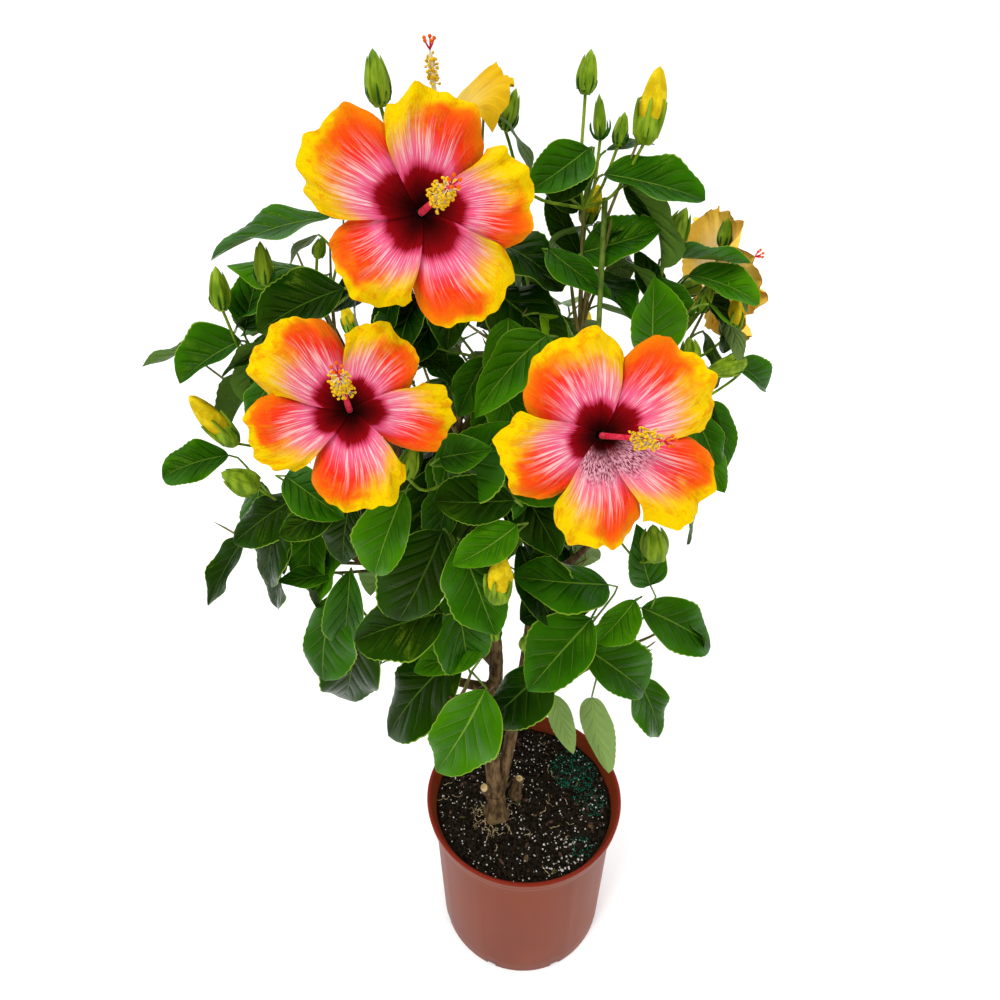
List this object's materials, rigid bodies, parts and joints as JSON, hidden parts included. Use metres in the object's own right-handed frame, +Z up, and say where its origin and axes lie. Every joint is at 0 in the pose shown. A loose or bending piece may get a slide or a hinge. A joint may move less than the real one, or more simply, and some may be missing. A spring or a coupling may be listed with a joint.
{
  "type": "potted hibiscus shrub",
  "caption": "Hibiscus shrub in a round nursery pot: forked woody stems carry a leafy crown with large red and yellow blooms facing the front.",
  "frame": {"origin": "centre of the pot's flat underside, on the surface that it stands on", "axes": "+Z up along the pot's axis, -Y towards the side that the three large blooms face, +X to the right seen from that side"},
  "size_m": [0.5532, 0.437, 1.0682],
  "materials": {
    "pot_plastic": "semi-gloss moulded terracotta plastic",
    "potting_mix": "rough, crumbly, with white perlite",
    "old_bark": "rough grey-brown bark",
    "young_bark": "smooth green-brown bark",
    "foliage": "glossy leaves",
    "petal": "satin, thin petals"
  },
  "bodies": {
    "root": {"pot": "pot_plastic", "soil": "potting_mix", "trunk": "old_bark", "stem_left": "old_bark", "stem_right": "old_bark", "stub_front": "old_bark", "stub_back": "old_bark", "bloom_top": "petal", "bloom_left": "petal", "bloom_right": "petal", "foliage_low_front": "foliage", "foliage_low_left": "foliage", "foliage_low_back_left": "foliage", "foliage_low_back_right": "foliage", "foliage_low_right": "foliage", "foliage_low_front_right": "foliage", "foliage_middle_front": "foliage", "foliage_middle_left": "foliage", "foliage_middle_back_left": "foliage", "foliage_middle_back_right": "foliage", "foliage_middle_right": "foliage", "foliage_middle_core": "foliage", "foliage_high_far_left": "foliage", "foliage_high_left": "foliage", "foliage_high_back": "foliage", "foliage_high_front": "foliage", "foliage_high_right": "foliage", "foliage_top_left": "foliage", "foliage_top_right": "foliage", "bough_low_front": "young_bark", "bough_low_left": "young_bark", "bough_low_back_left": "young_bark", "bough_low_back_right": "young_bark", "bough_low_right": "young_bark", "bough_low_front_right": "young_bark", "bough_middle_front": "young_bark", "bough_middle_left": "young_bark", "bough_middle_back_left": "young_bark", "bough_middle_back_right": "young_bark", "bough_middle_right": "young_bark", "bough_high_far_left": "young_bark", "bough_high_left": "young_bark", "bough_high_back": "young_bark", "bough_high_right": "young_bark", "bough_top_left": "young_bark", "bough_top_right": "young_bark", "stalk_top": "young_bark", "stalk_left": "young_bark", "stalk_right": "young_bark"}
  },
  "joints": []
}
